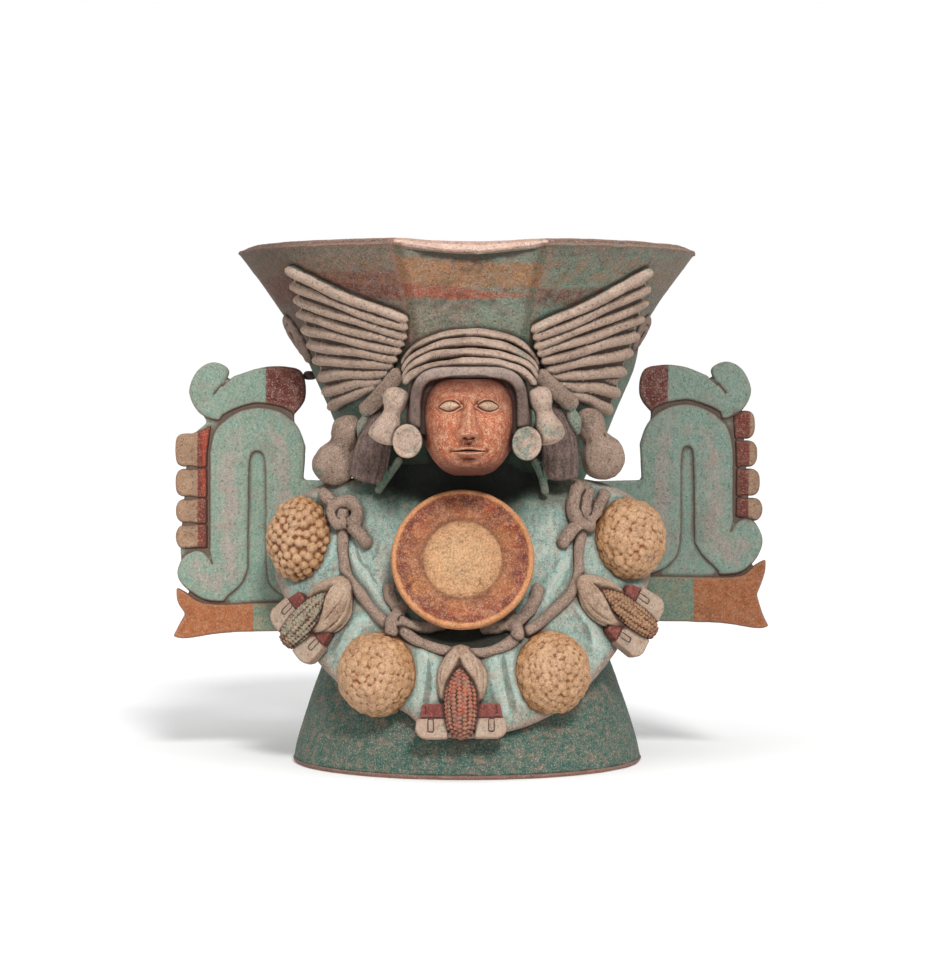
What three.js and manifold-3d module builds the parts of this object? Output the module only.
// An effigy incense burner of fired clay: an hourglass vessel that carries a masked head, two pleated
// fans, a bib with a necklace of flowers and maize, a round plaque, and a flange on each side.
// Units are millimetres. The foot stands on z = 0, the front faces -Y, and the vessel's axis is Z.
import * as THREE from "three";
import { mergeVertices } from "three/addons/utils/BufferGeometryUtils.js";
import Module from "manifold-3d";

const wasm = await Module();
wasm.setup();

// Driving dimensions
const waistHeight = 240; // where the bowl is luted to the foot
const seamGap = 0.3; // clearance between pieces that touch
const cutterGrowth = 0.4; // how far a carrier grows when it cuts the piece that sits on it
const turns = 22; // sides of the vessel's rings outside the flute
const foot = { wall: 15, roof: 18 };
const bowl = { wall: 14, floor: 20, rimHeight: 506, lipRise: 5 };
const flute = { middle: 0.018, halfAngle: 0.338, rimDepth: 30, rimDip: 7, lowest: 330, steps: 6 };
const plaque = { x: -4, z: 209, y: -166, radius: 68, tilt: 0.28, thickness: 13 };
const bib = { centreX: -4, centreZ: 209, wall: 17, dishDepth: 126, sideCurve: 520, dishRadius: 52 };
const head = {
  x: 2, z: 333, faceHalfWidth: 45, faceHalfHeight: 46, faceY: -178, faceDepth: 42, back: -112,
};
const ballDepth = 0.92; // a flower's reach in front of its seat, as a share of its radius
const cordRadius = 5.2;

// Outer radius of the vessel at a height: foot, waist and flaring bowl
const vesselProfile = smoothThrough([
  [0, 174], [26, 168], [64, 156], [92, 146], [150, 124], [200, 110.5], [240, 106.5],
  [280, 111], [330, 129], [400, 160], [450, 187], [506, 228],
]);

// Clay and paint colours
const paints = {
  green: paint(0x6f9a86),
  darkGreen: paint(0x4f7568),
  cream: paint(0xb7a28c),
  grey: paint(0x857a78),
  plum: paint(0x5a4643),
  skin: paint(0xb8693f),
  red: paint(0x7d3529),
  orange: paint(0xb0652f),
  ochre: paint(0xc09257),
  cob: paint(0x7d463a),
};

function paint(colour) {
  return new THREE.MeshStandardMaterial({ color: colour, roughness: 0.9, metalness: 0 });
}

// A smooth function through [input, output] pairs, held level past both ends
function smoothThrough(pairs) {
  const slope = (i) => {
    const a = pairs[Math.max(i - 1, 0)];
    const b = pairs[Math.min(i + 1, pairs.length - 1)];
    return (b[1] - a[1]) / (b[0] - a[0]);
  };
  return (input) => {
    const x = Math.min(Math.max(input, pairs[0][0]), pairs[pairs.length - 1][0]);
    let i = 0;
    while (i < pairs.length - 2 && x > pairs[i + 1][0]) i++;
    const span = pairs[i + 1][0] - pairs[i][0];
    const t = (x - pairs[i][0]) / span;
    const t2 = t * t;
    const t3 = t2 * t;
    return (2 * t3 - 3 * t2 + 1) * pairs[i][1] + (t3 - 2 * t2 + t) * span * slope(i)
      + (3 * t2 - 2 * t3) * pairs[i + 1][1] + (t3 - t2) * span * slope(i + 1);
  };
}

function smoothStep(from, to, value) {
  return THREE.MathUtils.smoothstep(value, from, to);
}

function range(count) {
  return Array.from({ length: count }, (_, i) => i);
}

// Solids

// A solid from points and triangles, turned the right way round
function solidFrom(points, triangles) {
  const volume = triangles.reduce((sum, [a, b, c]) => {
    return sum + points[a].dot(new THREE.Vector3().crossVectors(points[b], points[c]));
  }, 0);
  const facing = volume < 0 ? triangles.map(([a, b, c]) => [a, c, b]) : triangles;
  return new wasm.Manifold(new wasm.Mesh({
    numProp: 3,
    vertProperties: new Float32Array(points.flatMap((p) => [p.x, p.y, p.z])),
    triVerts: new Uint32Array(facing.flat()),
  }));
}

// A closed skin through rings of equal count. Each end closes on a point.
function loft(rings, startPoint, endPoint) {
  const count = rings[0].length;
  const points = [startPoint, ...rings.flat(), endPoint];
  const last = points.length - 1;
  const at = (ring, side) => 1 + ring * count + (side % count);
  const triangles = [];
  for (const side of range(count)) {
    triangles.push([0, at(0, side + 1), at(0, side)]);
    triangles.push([last, at(rings.length - 1, side), at(rings.length - 1, side + 1)]);
    for (const ring of range(rings.length - 1)) {
      triangles.push([at(ring, side), at(ring, side + 1), at(ring + 1, side + 1)]);
      triangles.push([at(ring, side), at(ring + 1, side + 1), at(ring + 1, side)]);
    }
  }
  return solidFrom(points, triangles);
}

// A slab between a front and a back surface, both given on the same grid of rows and columns
function slab(rows, columns, frontPoint, backPoint) {
  const points = [];
  for (const surface of [frontPoint, backPoint])
    for (const row of range(rows)) for (const column of range(columns)) points.push(surface(row, column));
  const at = (back, row, column) => (back * rows + row) * columns + column;
  const triangles = [];
  const quad = (a, b, c, d) => triangles.push([a, b, c], [a, c, d]);
  for (const r of range(rows - 1)) {
    for (const c of range(columns - 1)) {
      quad(at(0, r, c), at(0, r, c + 1), at(0, r + 1, c + 1), at(0, r + 1, c));
      quad(at(1, r, c), at(1, r + 1, c), at(1, r + 1, c + 1), at(1, r, c + 1));
    }
    quad(at(0, r, 0), at(0, r + 1, 0), at(1, r + 1, 0), at(1, r, 0));
    const last = columns - 1;
    quad(at(0, r, last), at(1, r, last), at(1, r + 1, last), at(0, r + 1, last));
  }
  for (const c of range(columns - 1)) {
    quad(at(0, 0, c), at(1, 0, c), at(1, 0, c + 1), at(0, 0, c + 1));
    quad(at(0, rows - 1, c), at(0, rows - 1, c + 1), at(1, rows - 1, c + 1), at(1, rows - 1, c));
  }
  return solidFrom(points, triangles);
}

// A three.js geometry as a solid
function solidOf(geometry) {
  const bare = geometry.clone();
  bare.deleteAttribute("normal");
  bare.deleteAttribute("uv");
  const merged = mergeVertices(bare, 1e-3);
  const place = merged.attributes.position;
  const points = range(place.count).map((i) => new THREE.Vector3().fromBufferAttribute(place, i));
  const index = Array.from(merged.index.array);
  return solidFrom(points, range(index.length / 3).map((i) => index.slice(3 * i, 3 * i + 3)));
}

// A flat outline in the XZ plane, given thickness from the plane y = back towards the front
function plate(shape, back, thickness, curveSteps) {
  const geometry = new THREE.ExtrudeGeometry(shape, {
    depth: thickness, bevelEnabled: false, curveSegments: curveSteps,
  });
  geometry.rotateX(Math.PI / 2);
  geometry.translate(0, back, 0);
  return solidOf(geometry);
}

// A round-ended roll of clay along a path, with a radius that may change on the way and a flattening
function roll(path, radiusAt, steps, sides = 8, flatten = 1) {
  const curve = new THREE.CatmullRomCurve3(path);
  const ends = 0.045; // the share of the length in which an end rounds off
  const rings = range(steps + 1).map((i) => {
    const t = i / steps;
    const along = curve.getTangentAt(t);
    const across = new THREE.Vector3().crossVectors(along, new THREE.Vector3(0, -1, 0)).normalize();
    const out = new THREE.Vector3().crossVectors(across, along).normalize();
    const near = Math.min(1, Math.min(t, 1 - t) / ends + 0.45);
    const radius = radiusAt(t) * Math.sqrt(1 - (1 - near) ** 2);
    return range(sides).map((k) => {
      const angle = (2 * Math.PI * k) / sides;
      return curve.getPointAt(t)
        .addScaledVector(across, radius * Math.cos(angle))
        .addScaledVector(out, radius * flatten * Math.sin(angle));
    });
  });
  const cap = (t, sign) => curve.getPointAt(t)
    .addScaledVector(curve.getTangentAt(t), sign * radiusAt(t) * 0.35);
  return loft(rings, cap(0, -1), cap(1, 1));
}

// A solid with each corner moved out along its normal
function grown(solid) {
  const mesh = solid.getMesh();
  const place = new THREE.BufferAttribute(new Float32Array(mesh.vertProperties), 3);
  const geometry = new THREE.BufferGeometry();
  geometry.setAttribute("position", place);
  geometry.setIndex(new THREE.BufferAttribute(mesh.triVerts, 1));
  geometry.computeVertexNormals();
  const normal = geometry.attributes.normal;
  for (const i of range(place.count)) {
    const moved = new THREE.Vector3().fromBufferAttribute(place, i)
      .addScaledVector(new THREE.Vector3().fromBufferAttribute(normal, i), cutterGrowth);
    place.setXYZ(i, moved.x, moved.y, moved.z);
  }
  const skin = { numProp: 3, vertProperties: place.array, triVerts: mesh.triVerts };
  return new wasm.Manifold(new wasm.Mesh(skin));
}

// The object, piece by piece. Each new piece is cut back to sit on the ones before it.
const burner = new THREE.Group();
const carriers = [];

function meets(a, b) {
  const [p, q] = [a.boundingBox(), b.boundingBox()];
  return range(3).every((k) => p.min[k] < q.max[k] && q.min[k] < p.max[k]);
}

function lay(name, material, solid) {
  let piece = solid;
  for (const carrier of carriers) if (meets(piece, carrier)) piece = piece.subtract(carrier);
  const bodies = piece.decompose().sort((a, b) => b.volume() - a.volume());
  piece = bodies[0];
  carriers.push(grown(solid));
  const mesh = piece.getMesh();
  const geometry = new THREE.BufferGeometry();
  geometry.setAttribute("position", new THREE.BufferAttribute(new Float32Array(mesh.vertProperties), 3));
  geometry.setIndex(new THREE.BufferAttribute(mesh.triVerts, 1));
  const node = new THREE.Mesh(geometry, material);
  node.name = name;
  burner.add(node);
}

// The vessel

// How far the front flute sinks the wall at an angle from the front and a height
function fluteDepth(angle, height) {
  const across = Math.min(Math.abs(angle - flute.middle) / flute.halfAngle, 1);
  return flute.rimDepth * smoothStep(flute.lowest, bowl.rimHeight, height) * (1 - across ** 2);
}

function wallPoint(angle, height, inset) {
  const radius = vesselProfile(height) - fluteDepth(angle, height) - inset;
  return new THREE.Vector3(radius * Math.sin(angle), -radius * Math.cos(angle), height);
}

// The vessel's front surface at a place seen from the front, and its outward direction there
function frontOfVessel(x, z) {
  let angle = Math.asin(x / vesselProfile(z));
  for (const _ of range(6)) angle = Math.asin(x / (vesselProfile(z) - fluteDepth(angle, z)));
  const slope = vesselProfile(z + 1) - vesselProfile(z);
  const out = new THREE.Vector3(Math.sin(angle), -Math.cos(angle), -slope).normalize();
  return { point: wallPoint(angle, z, 0), out };
}

const plainAngle = 2 * (Math.PI - flute.halfAngle);
const ringAngles = [
  ...range(flute.steps).map((i) => flute.middle + flute.halfAngle * ((2 * i) / flute.steps - 1)),
  ...range(turns).map((i) => flute.middle + flute.halfAngle + (plainAngle * i) / turns),
];

function ring(height, inset) {
  return ringAngles.map((angle) => wallPoint(angle, height, inset));
}

// The lip: its outer edge dips in the flute, and its inner edge stands higher, so the lip slopes outwards
function lipRing(inset, rise) {
  return ringAngles.map((angle) => {
    const across = Math.min(Math.abs(angle - flute.middle) / flute.halfAngle, 1);
    const dip = flute.rimDip * (1 - across ** 2) * (rise ? -0.4 : 1);
    const point = wallPoint(angle, bowl.rimHeight, inset);
    return point.setZ(bowl.rimHeight + rise - dip);
  });
}

function makeFoot() {
  const heights = [0, 8, 36, 90, 150, 200, waistHeight];
  const outside = heights.map((z) => ring(z, z === 0 ? 2.5 : 0));
  const roof = waistHeight - foot.roof;
  const inside = [roof, 170, 100, 36, 0].map((z) => ring(z, foot.wall));
  return loft([...outside.reverse(), ...inside.reverse()],
    new THREE.Vector3(0, 0, waistHeight), new THREE.Vector3(0, 0, roof));
}

function makeBowl() {
  const bottom = waistHeight + seamGap;
  const heights = [bottom, 265, 295, 330, 365, 400, 435, 470];
  const outside = heights.map((z) => ring(z, 0));
  const floor = bottom + bowl.floor;
  const inside = [465, 410, 350, floor + 12].map((z) => ring(z, bowl.wall));
  const rings = [
    ...outside, lipRing(0, 0), lipRing(bowl.wall - 1, bowl.lipRise), ...inside, ring(floor, bowl.wall + 14),
  ];
  return loft(rings, new THREE.Vector3(0, 0, bottom), new THREE.Vector3(0, 0, floor));
}

lay("foot", paints.darkGreen, makeFoot());
lay("bowl", paints.green, makeBowl());

// The side flanges. Places are given outwards from the vessel's axis and up, so both sides share a function.

function outline(side, points) {
  const shape = new THREE.Shape();
  shape.moveTo(side * points[0][0], points[0][1]);
  return { shape, side };
}

// Adds a smooth curve through points
function curveOn({ shape, side }, points) {
  shape.splineThru(points.map(([out, up]) => new THREE.Vector2(side * out, up)));
}

function lineOn({ shape, side }, out, up) {
  shape.lineTo(side * out, up);
}

const flangeBack = { slab: 6, slabThickness: 11, reliefThickness: 9, slotDepth: 2.8 };
const flanges = [
  {
    name: "left", side: -1, inner: 161, outer: 257, archTop: 353,
    slotTop: 308, slotMiddle: 209, slotHalf: 8, slotFoot: 172,
    curlBottom: 158, curlOut: 289, curlTop: 210, armTop: 278, armBottom: 160, armReach: 104,
    scrollIn: 160, scrollOut: 277, scrollTop: 397,
    ribbonBottom: 124, ribbonTop: 159, ribbonOut: 293, tipTop: 173,
    tabOut: 290, tabSlant: 0, tabHeights: [327, 292, 262, 236, 210],
  },
  {
    name: "right", side: 1, inner: 172, outer: 266, archTop: 356,
    slotTop: 313, slotMiddle: 219.5, slotHalf: 6, slotFoot: 197,
    curlBottom: 185, curlOut: 295, curlTop: 242, armTop: 278, armBottom: 185, armReach: 104,
    scrollIn: 171, scrollOut: 283, scrollTop: 398,
    ribbonBottom: 134, ribbonTop: 185, ribbonOut: 301, tipTop: 201,
    tabOut: 286.5, tabSlant: 2.5, tabHeights: [350, 320, 292, 263, 238],
  },
];

// The strap bent over like an upturned U, with a curl at its outer foot and an arm to the vessel
function strapOutline(f) {
  const middle = (f.inner + f.outer) / 2;
  const start = outline(f.side, [[f.armReach, f.armTop]]);
  lineOn(start, f.inner + 2, f.armTop + 2);
  lineOn(start, f.inner, f.archTop - 40);
  curveOn(start, [
    [f.inner + 8, f.archTop - 20], [f.inner + 24, f.archTop - 5], [middle, f.archTop],
    [f.outer - 24, f.archTop - 7], [f.outer - 6, f.archTop - 24], [f.outer, f.archTop - 46],
  ]);
  lineOn(start, f.outer, f.curlTop - 1);
  lineOn(start, f.outer - 3, f.curlTop - 13);
  curveOn(start, [
    [f.outer + 5, f.curlTop - 2], [f.outer + 14, f.curlTop], [f.curlOut - 6, f.curlTop - 7],
    [f.curlOut, f.curlTop - 24], [f.curlOut - 8, f.curlBottom + 14], [f.outer + 6, f.curlBottom + 2],
    [f.outer - 14, f.curlBottom], [f.slotMiddle + 30, f.curlBottom + 5],
    [f.slotMiddle + 16, f.curlBottom + 18], [f.slotMiddle + f.slotHalf + 1, f.slotFoot + 20],
  ]);
  curveOn(start, [
    [f.slotMiddle + f.slotHalf, f.slotTop - 30], [f.slotMiddle + f.slotHalf * 0.8, f.slotTop - 5],
    [f.slotMiddle, f.slotTop], [f.slotMiddle - f.slotHalf * 0.8, f.slotTop - 5],
    [f.slotMiddle - f.slotHalf, f.slotTop - 30], [f.slotMiddle - f.slotHalf - 1, f.slotFoot + 20],
    [f.slotMiddle - 18, f.slotFoot - 2], [f.slotMiddle - 36, f.armBottom],
  ]);
  lineOn(start, f.armReach, f.armBottom);
  return start.shape;
}

// The scroll that lies over the arch: a band with a painted block inside and a curl outside
function scrollOutline(f) {
  const start = outline(f.side, [[f.scrollIn + 12, f.archTop - 8]]);
  curveOn(start, [
    [f.scrollIn + 1, f.archTop + 9], [f.scrollIn + 4, f.scrollTop - 10], [f.scrollIn + 20, f.scrollTop - 4],
    [f.scrollIn + 44, f.scrollTop - 5], [f.scrollOut - 44, f.scrollTop - 14],
  ]);
  lineOn(start, f.scrollOut - 34, f.scrollTop - 23.5);
  curveOn(start, [
    [f.scrollOut - 40, f.scrollTop - 8], [f.scrollOut - 25, f.scrollTop], [f.scrollOut - 8, f.scrollTop - 9],
    [f.scrollOut, f.scrollTop - 30], [f.scrollOut - 10, f.scrollTop - 50],
    [f.scrollOut - 28, f.scrollTop - 58], [f.outer - 14, f.archTop - 9],
  ]);
  const middle = (f.inner + f.outer) / 2;
  curveOn(start, [
    [f.outer - 26, f.archTop - 3], [middle, f.archTop + 3], [f.inner + 23, f.archTop - 1],
    [f.scrollIn + 12, f.archTop - 8],
  ]);
  return start.shape;
}

// The ribbon along the bottom, with a swallowtail end
function ribbonOutline(f) {
  const start = outline(f.side, [[f.armReach + 20, f.ribbonTop + 1]]);
  curveOn(start, [
    [f.slotMiddle, f.ribbonTop - 2], [f.outer - 14, f.curlBottom - 2], [f.outer + 8, f.curlBottom],
    [f.curlOut - 8, f.curlBottom + 10], [f.ribbonOut - 3, f.tipTop],
  ]);
  const notch = [f.ribbonOut - 12, (f.tipTop + f.ribbonBottom) / 2 - 2];
  curveOn(start, [[f.ribbonOut - 4, f.tipTop - 14], notch]);
  curveOn(start, [[f.ribbonOut - 6, f.ribbonBottom + 12], [f.ribbonOut, f.ribbonBottom]]);
  curveOn(start, [
    [f.ribbonOut - 14, f.ribbonBottom - 2], [f.ribbonOut - 60, f.ribbonBottom + 4],
    [f.armReach + 20, f.ribbonBottom + 5],
  ]);
  return start.shape;
}

// The tabs down the outer edge, joined by the painted strip beside the strap
function tabsOutline(f) {
  const start = outline(f.side, [[f.outer - 3, f.tabHeights[0] + 8]]);
  f.tabHeights.slice(0, -1).forEach((top, i) => {
    const bottom = f.tabHeights[i + 1];
    const out = f.tabOut + i * f.tabSlant;
    lineOn(start, out - 16, top - 1);
    curveOn(start, [
      [out - 5, top - 2], [out, top - 9], [out, bottom + 9], [out - 5, bottom + 2], [out - 16, bottom + 1],
    ]);
  });
  lineOn(start, f.outer + 1, f.curlTop + 1);
  lineOn(start, f.outer + 1, f.archTop - 46);
  return start.shape;
}

// The plain slab behind the relief, a little smaller all round
function flangeSlabOutline(f) {
  const start = outline(f.side, [[f.armReach, f.armTop - 3]]);
  curveOn(start, [[f.inner - 12, f.armTop - 5], [f.inner - 2, f.armTop - 3], [f.inner + 5, f.armTop + 10]]);
  lineOn(start, f.inner + 4, f.archTop - 36);
  curveOn(start, [
    [f.inner + 12, f.archTop - 12], [f.scrollIn + 7, f.archTop + 10], [f.scrollIn + 10, f.scrollTop - 14],
    [f.scrollIn + 40, f.scrollTop - 10], [f.scrollOut - 44, f.scrollTop - 18],
    [f.scrollOut - 24, f.scrollTop - 5], [f.scrollOut - 6, f.scrollTop - 22],
    [f.scrollOut - 10, f.scrollTop - 44], [f.outer + 2, f.archTop - 16],
  ]);
  lineOn(start, f.tabOut - 12, f.tabHeights[0] - 6);
  lineOn(start, f.tabOut - 4, f.curlTop);
  curveOn(start, [
    [f.curlOut - 5, f.curlTop - 24], [f.curlOut - 12, f.curlBottom + 14], [f.ribbonOut - 14, f.tipTop - 10],
    [f.ribbonOut - 17, (f.tipTop + f.ribbonBottom) / 2], [f.ribbonOut - 14, f.ribbonBottom + 4],
  ]);
  lineOn(start, f.armReach, f.ribbonBottom + 9);
  return start.shape;
}

// The shallow floor of the strap's slot, which stands up from the slab
function slotFloorOutline(f) {
  const [low, high] = [f.slotFoot + 6, f.slotTop - 2];
  const start = outline(f.side, [[f.slotMiddle - f.slotHalf - 1, low]]);
  lineOn(start, f.slotMiddle - f.slotHalf, high - 28);
  curveOn(start, [[f.slotMiddle, high], [f.slotMiddle + f.slotHalf, high - 28]]);
  lineOn(start, f.slotMiddle + f.slotHalf + 1, low + 14);
  lineOn(start, f.slotMiddle + f.slotHalf - 2, low);
  return start.shape;
}

for (const f of flanges) {
  const front = flangeBack.slab - flangeBack.slabThickness - seamGap;
  const relief = flangeBack.reliefThickness;
  const slotFloor = plate(slotFloorOutline(f), front + 1, relief - flangeBack.slotDepth + 1, 2);
  const base = plate(flangeSlabOutline(f), flangeBack.slab, flangeBack.slabThickness, 2);
  lay(f.name + "_flange_slab", paints.green, base.add(slotFloor));
  lay(f.name + "_flange_strap", paints.green, plate(strapOutline(f), front, relief, 2));
  lay(f.name + "_flange_scroll", paints.green, plate(scrollOutline(f), front, relief, 2));
  lay(f.name + "_flange_ribbon", paints.orange, plate(ribbonOutline(f), front, relief + 1.5, 2));
  lay(f.name + "_flange_tabs", paints.cream, plate(tabsOutline(f), front, relief - 1, 2));
}

// The peg that ties the left flange's top to the bowl
const tiePeg = { path: [new THREE.Vector3(-164, 0, 384), new THREE.Vector3(-150, 0, 384)], radius: 4.5 };
lay("left_flange_peg", paints.plum, roll(tiePeg.path, () => tiePeg.radius, 3));

// The bib

const bibEdge = smoothThrough([
  [-200, 120], [-180, 182], [-165, 180], [-150, 176], [-130, 169], [-112, 156], [-100, 168], [-90, 171],
  [-78, 170], [-60, 173], [-35, 175], [-18, 181], [0, 187], [14, 184], [25, 160], [40, 118], [60, 88],
  [90, 76], [120, 86], [142, 118], [156, 160], [168, 182], [180, 182],
]);
const bibLift = smoothThrough([
  [-180, 10], [-150, 26], [-120, 47], [-90, 56], [-60, 47], [-30, 26], [0, 10], [45, -4], [90, -8],
  [135, -4], [180, 10],
]);

// The bib's front surface, by place seen from the front: a dish that rises to the cord's ridge
function bibFront(x, z) {
  const [dx, dz] = [x - bib.centreX, z - bib.centreZ];
  const angle = THREE.MathUtils.radToDeg(Math.atan2(dz, dx));
  const rise = smoothStep(bib.dishRadius, 98, Math.hypot(dx, dz));
  return -(bib.dishDepth + bibLift(angle) * rise) + (dx * dx) / bib.sideCurve;
}

function bibNormal(x, z) {
  const step = 12;
  const slopeX = (bibFront(x + step, z) - bibFront(x - step, z)) / (2 * step);
  const slopeZ = (bibFront(x, z + step) - bibFront(x, z - step)) / (2 * step);
  return new THREE.Vector3(slopeX, -1, slopeZ).normalize();
}

function onBib(x, z, out = 0) {
  return new THREE.Vector3(x, bibFront(x, z), z).addScaledVector(bibNormal(x, z), out);
}

function makeBib() {
  const spokes = 26;
  const place = (share, k) => {
    const angle = (360 * k) / spokes - 180;
    const reach = bibEdge(angle) * share;
    const turned = THREE.MathUtils.degToRad(angle);
    return [bib.centreX + reach * Math.cos(turned), bib.centreZ + reach * Math.sin(turned)];
  };
  const surface = (share, depth) => range(spokes).map((k) => {
    const [x, z] = place(share, k);
    return new THREE.Vector3(x, bibFront(x, z) + depth, z);
  });
  const rings = [
    surface(0.25, 0), surface(0.42, 0), surface(0.55, 0), surface(0.72, 0), surface(0.88, 0),
    surface(0.985, 2), surface(1, 8), surface(0.985, bib.wall), surface(0.8, bib.wall + 4),
    surface(0.62, bib.wall + 24),
  ];
  const middle = (depth) => new THREE.Vector3(bib.centreX, -bib.dishDepth + depth, bib.centreZ);
  return loft(rings, middle(0), middle(45));
}

lay("bib", paints.green, makeBib());

// The head

// Height of the face in front of its seat, by place across and up, each from -1 to 1
function faceRelief(across, up) {
  const hump = (x, y, wide, tall) => Math.exp(-(((across - x) / wide) ** 2) - ((up - y) / tall) ** 2);
  const both = (x, y, wide, tall) => hump(x, y, wide, tall) + hump(-x, y, wide, tall);
  const bridge = hump(0, 0.24, 0.1, 0.26) * 0.15;
  const noseTip = hump(0, -0.05, 0.15, 0.14) * 0.32 + both(0.16, -0.1, 0.08, 0.09) * 0.12;
  const sockets = both(0.4, 0.45, 0.27, 0.17) * -0.12;
  const lids = both(0.4, 0.44, 0.2, 0.1) * 0.14;
  const brows = both(0.41, 0.69, 0.3, 0.09) * 0.07;
  const lips = hump(0, -0.4, 0.27, 0.06) * 0.12 + hump(0, -0.52, 0.23, 0.06) * 0.14;
  const chin = hump(0, -0.8, 0.26, 0.14) * 0.11;
  const cheeks = both(0.56, 0.02, 0.24, 0.24) * 0.07;
  return bridge + noseTip + sockets + lids + brows + lips + chin + cheeks;
}

const faceWidthAt = smoothThrough([[-1, 0.3], [-0.85, 0.56], [-0.5, 0.84], [0, 1], [0.5, 1], [1, 0.86]]);
const foreheadLean = { from: 0.55, share: 0.34 }; // how far the forehead draws back under the hood

function makeHead() {
  const [rows, columns] = [15, 15];
  const place = (row, column) => {
    const up = -1 + (2 * row) / (rows - 1);
    const side = -1 + (2 * column) / (columns - 1);
    const across = Math.sin((side * Math.PI) / 2) * 0.35 + side * 0.65;
    return [across, up];
  };
  const front = (row, column) => {
    const [across, up] = place(row, column);
    const round = Math.sqrt(Math.max(0, 1 - Math.abs(across) ** 2.6)) * (1 - 0.32 * Math.max(0, -up) ** 3);
    const lean = 1 - foreheadLean.share * smoothStep(foreheadLean.from, 1, up);
    const relief = faceRelief(across * faceWidthAt(up), up) * (1 - across ** 8);
    const depth = head.faceDepth * lean * (round + relief);
    const x = head.x + across * head.faceHalfWidth * faceWidthAt(up);
    return new THREE.Vector3(x, head.faceY - depth, head.z + up * head.faceHalfHeight);
  };
  const back = (row, column) => {
    const point = front(row, column);
    return point.setY(head.back);
  };
  return slab(rows, columns, front, back);
}

// The hood covers the head down to its sides and climbs back to the bowl's wall under the headband.
// Each section is given by its place in depth, its half width and the height of its crown.
const hoodSections = [
  [-207, 53.5, 388], [-203, 57, 391], [-190, 58, 394], [-168, 59, 408], [-152, 60, 416], [-112, 56, 416],
];
const hoodHem = 330;

function makeHood() {
  const sides = 16;
  const rounded = (v) => Math.sign(v) * Math.abs(v) ** 0.66;
  const section = ([y, halfWidth, crown]) => range(sides).map((k) => {
    const angle = (2 * Math.PI * k) / sides;
    const up = rounded(Math.sin(angle));
    const z = up > 0 ? hoodHem + (crown - hoodHem) * up : hoodHem + 4 * up;
    return new THREE.Vector3(head.x + halfWidth * rounded(Math.cos(angle)), y, z);
  });
  const middle = (y) => new THREE.Vector3(head.x, y, hoodHem + 20);
  return loft(hoodSections.map(section), middle(hoodSections[0][0]), middle(hoodSections[5][0]));
}

// The four rolls of the headband, from the highest at the back to the lowest at the front
const bandRolls = [0, 1, 2, 3].map((k) => ({
  halfWidth: 63 - k * 0.8,
  crown: 422 - k * 9.4,
  end: 391 - k * 6.2,
  y: -160 - k * 10,
  radius: 5.6,
}));

function makeBandRoll(r) {
  const path = range(9).map((i) => {
    const angle = Math.PI * (1 - i / 8);
    return new THREE.Vector3(
      head.x + 1 + r.halfWidth * Math.cos(angle),
      r.y + 10 * Math.cos(angle) ** 2,
      r.end + (r.crown - r.end) * Math.sin(angle),
    );
  });
  return roll(path, () => r.radius, 12, 6, 1.25);
}

lay("head", paints.skin, makeHead());
lay("hood", paints.grey, makeHood());
for (const k of [3, 2, 1, 0]) lay("headband_roll_" + (k + 1), paints.cream, makeBandRoll(bandRolls[k]));

// The pleated fans, each a row of rolls that spread from the headband over the bowl's wall
const fans = [
  { name: "left_fan", inner: [[-54, 424], [-58, 403], [-68, 389], [-82, 375]],
    outer: [[-165, 488], [-152, 448], [-139, 412], [-121, 354]] },
  { name: "right_fan", inner: [[61, 420], [65, 404], [74, 387], [96, 366]],
    outer: [[168, 484], [160, 450], [147, 412], [128, 352]] },
];
const pleats = { count: 10, samples: 3, height: 11, valley: 3.5, buried: 3 };

function makeFan(fan) {
  const along = (points) => {
    const curve = new THREE.CatmullRomCurve3(points.map(([x, z]) => new THREE.Vector3(x, 0, z)));
    return (t) => curve.getPointAt(t);
  };
  const [inner, outer] = [along(fan.inner), along(fan.outer)];
  const stations = 4;
  const place = (row, column) => {
    const t = column / (pleats.count * pleats.samples);
    const spread = row / (stations - 1);
    return new THREE.Vector3().lerpVectors(inner(t), outer(t), spread);
  };
  const front = (row, column) => {
    const spot = place(row, column);
    const { point, out } = frontOfVessel(spot.x, spot.z);
    const phase = ((column % pleats.samples) / pleats.samples) * Math.PI;
    const height = pleats.valley + (pleats.height - pleats.valley) * Math.sin(phase) ** 0.8;
    return point.addScaledVector(out, height);
  };
  const back = (row, column) => {
    const spot = place(row, column);
    const { point, out } = frontOfVessel(spot.x, spot.z);
    return point.addScaledVector(out, -pleats.buried);
  };
  return slab(stations, pleats.count * pleats.samples + 1, front, back);
}

for (const fan of fans) lay(fan.name, paints.cream, makeFan(fan));

// Folded paper knots on the bowl's sides, each an oval coil around a hollow. Each section of a coil is
// given by its half depth, its half height and how far it stands out along the coil's axis.
const sideKnot = {
  out: 163, y: -38, z: 422, tip: 0.5, turn: 0.25, back: -6, hollow: 4,
  sections: [[17, 26, -6], [18, 27, 5], [15, 23, 11], [9, 15, 12], [5, 9, 5]],
};

function makeSideKnot(side) {
  const centre = new THREE.Vector3(side * sideKnot.out, sideKnot.y, sideKnot.z);
  const placed = (out, deep, tall) => new THREE.Vector3(side * out, deep, tall)
    .applyAxisAngle(new THREE.Vector3(0, 1, 0), side * sideKnot.tip)
    .applyAxisAngle(new THREE.Vector3(0, 0, 1), -side * sideKnot.turn)
    .add(centre);
  const rings = sideKnot.sections.map(([deep, tall, out]) => range(14).map((k) => {
    const angle = (2 * Math.PI * k) / 14;
    return placed(out, deep * Math.cos(angle), tall * Math.sin(angle));
  }));
  return loft(rings, placed(sideKnot.back, 0, 0), placed(sideKnot.hollow, 0, 0));
}

lay("left_side_knot", paints.cream, makeSideKnot(-1));
lay("right_side_knot", paints.cream, makeSideKnot(1));

// The hangings beside the head

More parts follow.
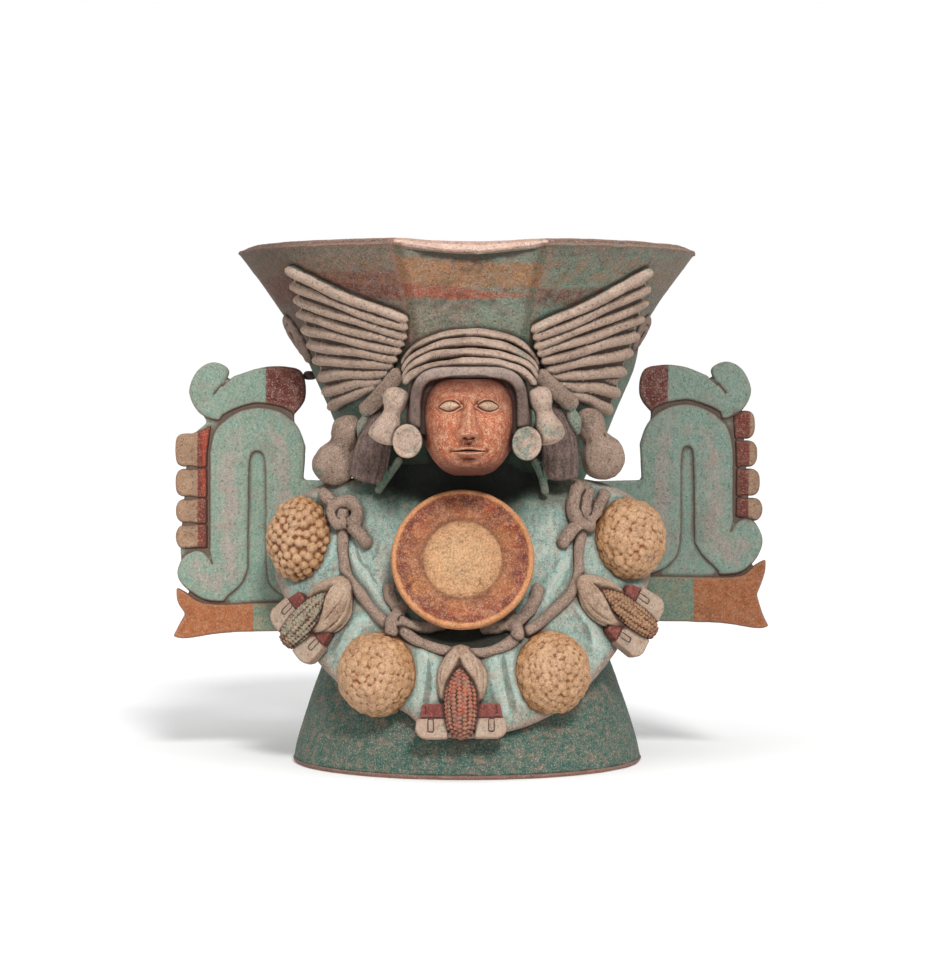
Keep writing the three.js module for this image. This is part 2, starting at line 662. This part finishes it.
// A tassel is a round knot over a skirt that flares to a flat end
function makeTassel(knot, end, knotRadius, endRadius) {
  const path = [knot, new THREE.Vector3().lerpVectors(knot, end, 0.5), end];
  const shape = smoothThrough([
    [0, knotRadius * 0.72], [0.16, knotRadius], [0.32, knotRadius * 0.94], [0.46, knotRadius * 0.78],
    [0.68, endRadius * 0.92], [0.9, endRadius], [1, endRadius * 0.86],
  ]);
  return roll(path, shape, 7, 8, 0.72);
}

function makeStrap(from, middle, to, width) {
  return roll([from, middle, to], () => width, 6, 8, 0.5);
}

const at = (x, y, z) => new THREE.Vector3(x, y, z);
const hangings = [
  {
    side: "left", ear: [at(-66, -180, 371), at(-79, -178, 318)], disc: at(-55.5, -205, 321),
    strap: [at(-62, -156, 388), at(-82, -140, 364), at(-101, -118, 346)],
    shoulder: [at(-109, -108, 344), at(-136, -94, 278)],
    flap: [at(-76, -121, 356), at(-89, -124, 316), at(-97, -120, 280)],
  },
  {
    side: "right", ear: [at(67, -180, 372), at(79, -178, 318)], disc: at(56, -205, 319),
    strap: [at(66, -156, 386), at(86, -140, 368), at(105, -118, 352)],
    shoulder: [at(113, -108, 351), at(140, -94, 284)],
    flap: [at(80, -121, 356), at(89, -124, 318), at(90, -120, 282)],
  },
];

// A round ear plug, dished a little on its face
function makeEarDisc(centre) {
  const rings = [[13, 16, 22], [14, 16, 3], [13, 15, 0], [9, 10.5, 1.6]].map(([wide, tall, back]) =>
    range(14).map((k) => {
      const angle = (2 * Math.PI * k) / 14;
      return at(wide * Math.cos(angle), back, tall * Math.sin(angle)).add(centre);
    }));
  return loft(rings, at(0, 22, 0).add(centre), at(0, 2, 0).add(centre));
}

const flapWidth = smoothThrough([[0, 8], [0.4, 15], [0.8, 17], [1, 13]]);

for (const h of hangings) {
  lay(h.side + "_ear_disc", paints.cream, makeEarDisc(h.disc));
  lay(h.side + "_ear_tassel", paints.cream, makeTassel(...h.ear, 12.5, 17));
  lay(h.side + "_dark_flap", paints.plum, roll(h.flap, flapWidth, 8, 10, 0.6));
  lay(h.side + "_strap", paints.cream, makeStrap(...h.strap, 8));
  lay(h.side + "_shoulder_tassel", paints.cream, makeTassel(...h.shoulder, 15.5, 22));
}

// The plaque: a round dish with a raised centre, tipped back, on a stub that ties it to the bib

function makePlaque() {
  const r = plaque.radius;
  const profile = [
    [0, plaque.thickness - 1], [0.84, plaque.thickness - 3], [1, 4], [0.985, -2], [0.93, -3.5], [0.8, -0.5],
    [0.58, 2], [0.52, 0], [0, -2],
  ];
  const points = profile.map(([share, y]) => new THREE.Vector2(share * r, -y));
  const geometry = new THREE.LatheGeometry(points.reverse(), 28);
  geometry.scale(1, -1, 1);
  geometry.rotateX(-plaque.tilt);
  geometry.translate(plaque.x, plaque.y, plaque.z);
  return solidOf(geometry);
}

const stub = { front: 34, back: 28, length: 60, sides: 12, behind: 38, drop: 8 };

function makePlaqueStub() {
  const geometry = new THREE.CylinderGeometry(stub.front, stub.back, stub.length, stub.sides);
  geometry.rotateX(-plaque.tilt);
  geometry.translate(plaque.x, plaque.y + stub.behind, plaque.z - stub.drop);
  return solidOf(geometry);
}

lay("plaque", paints.orange, makePlaque());
lay("plaque_stub", paints.darkGreen, makePlaqueStub());

// The necklace

const flowerReach = 0.62; // how far round from its pole a flower's skin goes, as a share of half a turn

// A flower head: a dome of overlapping scales set in rings round its pole
function makeFlower(x, z, wide, tall) {
  const rows = 5;
  const sides = 16;
  const seat = onBib(x, z, 0);
  const pole = bibNormal(x, z);
  const up = new THREE.Vector3(0, 0, 1).addScaledVector(pole, -pole.z).normalize();
  const across = new THREE.Vector3().crossVectors(pole, up);
  const rings = range(rows).map((row) => {
    const angle = (Math.PI * flowerReach * (rows - row)) / rows;
    return range(sides).map((k) => {
      const turn = (2 * Math.PI * k) / sides;
      const scale = 1 + ((k + row) % 2 ? 0.035 : -0.03);
      return seat.clone()
        .addScaledVector(across, wide * scale * Math.sin(angle) * Math.cos(turn))
        .addScaledVector(up, tall * scale * Math.sin(angle) * Math.sin(turn))
        .addScaledVector(pole, wide * ballDepth * scale * Math.cos(angle));
    });
  });
  const end = seat.clone().addScaledVector(pole, wide * ballDepth);
  const base = seat.clone().addScaledVector(pole, -wide * 0.42);
  return loft(rings, base, end);
}

const flowers = [
  ["left_upper_flower", -161, 224, 31.5, 39], ["left_lower_flower", -84, 101, 37, 37.5],
  ["right_lower_flower", 80, 100, 36.5, 37], ["right_upper_flower", 157, 224, 36, 38.5],
];
for (const [name, ...place] of flowers) lay(name, paints.ochre, makeFlower(...place));

// An ear of maize: a cob with rows of kernels, wrapped from its stalk end by a husk
// Its tabs start and end at shares of its length and reach out beside it.
const ears = [
  { name: "left_maize", stalk: [-111, 184], tip: [-168, 122], halfWidth: 14.5, tabs: [0.5, 0.97], reach: 20 },
  { name: "middle_maize", stalk: [-6, 122], tip: [-5, 41], halfWidth: 15.5, tabs: [0.62, 1], reach: 25 },
  { name: "right_maize", stalk: [104, 185], tip: [174, 131], halfWidth: 13, tabs: [0.5, 0.97], reach: 20 },
];

function earFrame(ear) {
  const [x0, z0] = ear.stalk;
  const [x1, z1] = ear.tip;
  const stalk = onBib(x0, z0, 6);
  const tip = onBib(x1, z1, 11);
  const along = tip.clone().sub(stalk).normalize();
  const out = bibNormal((x0 + x1) / 2, (z0 + z1) / 2);
  out.addScaledVector(along, -out.dot(along)).normalize();
  const across = new THREE.Vector3().crossVectors(along, out);
  return { stalk, tip, along, out, across, length: stalk.distanceTo(tip) };
}

const cobShape = smoothThrough([
  [0, 0.3], [0.12, 0.62], [0.35, 0.95], [0.6, 1], [0.85, 0.86], [0.96, 0.6], [1, 0.3],
]);
const huskShape = smoothThrough([[0, 0.3], [0.15, 0.75], [0.45, 1.35], [0.8, 1.3], [1, 0.9]]);

function makeCob(ear) {
  const f = earFrame(ear);
  const [rows, sides] = [10, 12];
  const from = 0.2; // the cob starts inside the husk
  const rings = range(rows).map((row) => {
    const t = row / (rows - 1);
    return range(sides).map((k) => {
      const turn = (2 * Math.PI * k) / sides;
      const kernel = k % 2 ? 1 : 0.9 + 0.08 * (row % 2);
      const radius = ear.halfWidth * cobShape(t) * kernel;
      return f.stalk.clone()
        .addScaledVector(f.along, f.length * (from + (1 - from) * t))
        .addScaledVector(f.across, radius * Math.cos(turn))
        .addScaledVector(f.out, 3 + radius * 1.05 * Math.sin(turn));
    });
  });
  const end = (share) => f.stalk.clone().addScaledVector(f.along, f.length * share)
    .addScaledVector(f.out, 3);
  return loft(rings, end(from - 0.02), end(1.03));
}

// The husk is open along the front, so that its two leaves part over the cob
function makeHusk(ear) {
  const f = earFrame(ear);
  const [rows, sides] = [5, 8];
  const rings = range(rows).map((row) => {
    const t = row / (rows - 1);
    return range(sides).map((k) => {
      const turn = (2 * Math.PI * k) / sides;
      const facing = Math.max(0, Math.sin(turn));
      const radius = ear.halfWidth * huskShape(t);
      const parted = 1 - 0.5 * t * facing;
      return f.stalk.clone()
        .addScaledVector(f.along, f.length * 0.62 * t)
        .addScaledVector(f.across, radius * Math.cos(turn))
        .addScaledVector(f.out, radius * 0.8 * parted * Math.sin(turn));
    });
  });
  const end = (share) => f.stalk.clone().addScaledVector(f.along, f.length * share);
  return loft(rings, end(-0.03), end(0.63));
}

// A paper tab beside an ear: a painted block and a pale block with a round end
function makeTab(ear, side) {
  const f = earFrame(ear);
  const local = (along, across) => new THREE.Vector2(across, along);
  const shape = new THREE.Shape();
  const inner = side * (ear.halfWidth - 3);
  const outerEdge = side * (ear.halfWidth + ear.reach);
  const [start, end] = ear.tabs.map((share) => f.length * share);
  shape.moveTo(inner, start);
  shape.lineTo(outerEdge - side * 5, start);
  shape.lineTo(outerEdge, start + 14);
  shape.splineThru([local(end - 8, outerEdge + side * 1), local(end, outerEdge - side * 9)]);
  shape.lineTo(inner, end);
  const geometry = new THREE.ExtrudeGeometry(shape, { depth: 11, bevelEnabled: false, curveSegments: 2 });
  geometry.translate(0, 0, -4.5);
  const frame = new THREE.Matrix4().makeBasis(f.across, f.along, f.out).setPosition(f.stalk);
  geometry.applyMatrix4(frame);
  return solidOf(geometry);
}

// The cord that ties the necklace, and its knots

function cordPath(places, out = 3) {
  return places.map(([x, z]) => onBib(x, z, out));
}

function makeCord(places, radius, steps, out = 3) {
  return roll(cordPath(places, out), () => radius, steps, 6, 0.9);
}

const cordPlaces = {
  left_cord: [[-117, 238], [-118, 215], [-113, 190], [-100, 172], [-86, 154], [-74, 139]],
  front_cord: [[-60, 136], [-44, 127], [-22, 121], [0, 119], [20, 122], [38, 128], [52, 137]],
  right_cord: [[66, 142], [82, 158], [98, 173], [106, 190], [106, 214], [110, 238]],
};
lay("front_cord", paints.cream, makeCord(cordPlaces.front_cord, cordRadius, 8));
for (const ear of ears) {
  lay(ear.name + "_cob", paints.cob, makeCob(ear));
  lay(ear.name + "_husk", paints.cream, makeHusk(ear));
  lay(ear.name + "_tab_inner", paints.red, makeTab(ear, -1));
  lay(ear.name + "_tab_outer", paints.red, makeTab(ear, 1));
}
lay("left_cord", paints.cream, makeCord(cordPlaces.left_cord, cordRadius, 10));
lay("right_cord", paints.cream, makeCord(cordPlaces.right_cord, cordRadius, 10));

// Each knot is a wrapped turn with its loose ends, each a stretch of cord
const knots = {
  left_upper: [
    [[-126, 246], [-127, 258], [-116, 264], [-105, 259], [-104, 247], [-113, 238], [-121, 240]],
    [[-142, 273], [-134, 266], [-125, 258]],
    [[-112, 241], [-104, 234], [-91, 218]],
  ],
  left_lower: [
    [[-62, 160], [-66, 151], [-70, 141], [-66, 132]],
    [[-76, 182], [-74, 168], [-66, 155]],
    [[-66, 146], [-54, 141], [-38, 139], [-20, 142]],
  ],
  right_lower: [
    [[42, 153], [44, 144], [48, 136], [45, 129]],
    [[70, 181], [66, 165], [56, 150], [47, 142]],
    [[13, 137], [27, 138], [45, 142]],
  ],
  right_upper: [
    [[107, 279], [102, 260], [100, 247], [108, 239], [117, 236]],
    [[134, 271], [125, 257], [118, 244], [110, 237]],
    [[110, 242], [100, 234], [88, 217]],
  ],
};

function makeKnot([turn, ...ends]) {
  const wrapped = makeCord(turn, cordRadius + 1.4, 9, 7);
  return ends.reduce((solid, places) => solid.add(makeCord(places, cordRadius + 0.2, 4, 6)), wrapped);
}

for (const [name, stretches] of Object.entries(knots)) lay(name + "_knot", paints.cream, makeKnot(stretches));

// The whole stands with its foot on z = 0 and its origin under the middle of its reach
const reach = new THREE.Box3().setFromObject(burner);
const middle = reach.getCenter(new THREE.Vector3());
burner.position.set(-middle.x, -middle.y, -reach.min.z);

export default burner;
